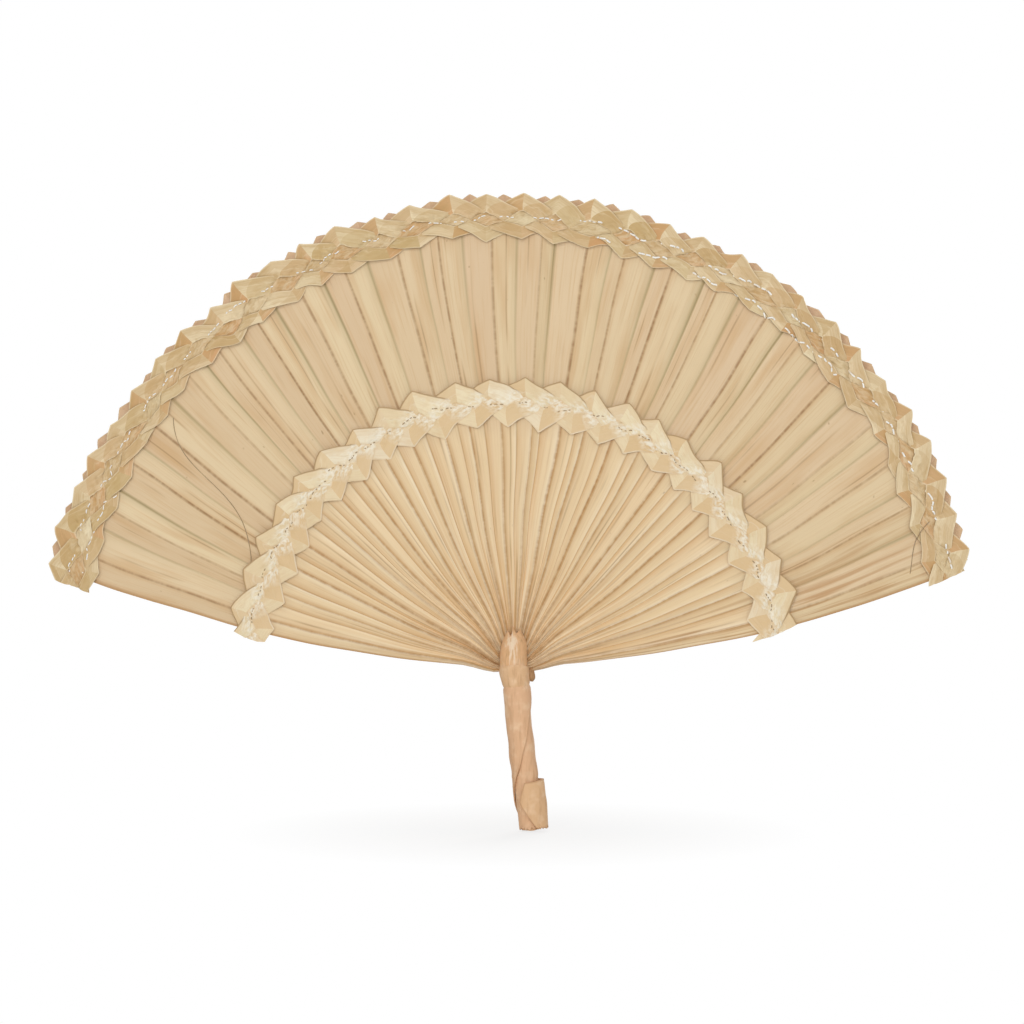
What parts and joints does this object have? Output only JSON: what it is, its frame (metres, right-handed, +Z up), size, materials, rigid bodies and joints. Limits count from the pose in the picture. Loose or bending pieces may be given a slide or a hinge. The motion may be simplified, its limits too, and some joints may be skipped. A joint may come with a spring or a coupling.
{
  "type": "palm leaf hand fan",
  "caption": "Half-round hand fan of pleated dried palm leaf, its rim and middle bound by sewn plaited strips, on a short handle wrapped in leaf strip.",
  "frame": {"origin": "middle of the grip, on the handle's axis", "axes": "+Z up the blade's middle line, +X to the right of the front face, the front faces -Y"},
  "size_m": [0.4296, 0.0142, 0.2951],
  "materials": {
    "leaf": "dried palm leaf, matt straw with fine long grain and brown fold lines",
    "outer_plait": "plaited palm strips in straw and orange tan, slightly glossy",
    "back_plait": "plaited palm strips, duller and pinker than the front",
    "inner_plait": "plaited pale cream palm strips with a satin sheen",
    "stalk": "dried leaf stalk, tan with pale scraped streaks",
    "handle_wrap": "pinkish tan leaf-sheath strip, matt and papery"
  },
  "bodies": {
    "root": {"end_wrap": "handle_wrap", "handle_wrap": "handle_wrap", "inner_plait_strand_1": "inner_plait", "inner_plait_strand_2": "inner_plait", "inner_plait_strand_3": "inner_plait", "leaflet_01": "leaf", "leaflet_02": "leaf", "leaflet_03": "leaf", "leaflet_04": "leaf", "leaflet_05": "leaf", "leaflet_06": "leaf", "leaflet_07": "leaf", "leaflet_08": "leaf", "leaflet_09": "leaf", "leaflet_10": "leaf", "leaflet_11": "leaf", "leaflet_12": "leaf", "leaflet_13": "leaf", "leaflet_14": "leaf", "leaflet_15": "leaf", "leaflet_16": "leaf", "leaflet_17": "leaf", "leaflet_18": "leaf", "leaflet_19": "leaf", "leaflet_20": "leaf", "leaflet_21": "leaf", "leaflet_22": "leaf", "leaflet_23": "leaf", "leaflet_24": "leaf", "neck_binding": "stalk", "neck_knot": "handle_wrap", "outer_back_plait_strand_1": "back_plait", "outer_back_plait_strand_2": "back_plait", "outer_back_plait_strand_3": "back_plait", "outer_back_plait_strand_4": "back_plait", "outer_front_plait_strand_1": "outer_plait", "outer_front_plait_strand_2": "outer_plait", "outer_front_plait_strand_3": "outer_plait", "outer_front_plait_strand_4": "outer_plait", "stalk": "stalk"}
  },
  "joints": []
}
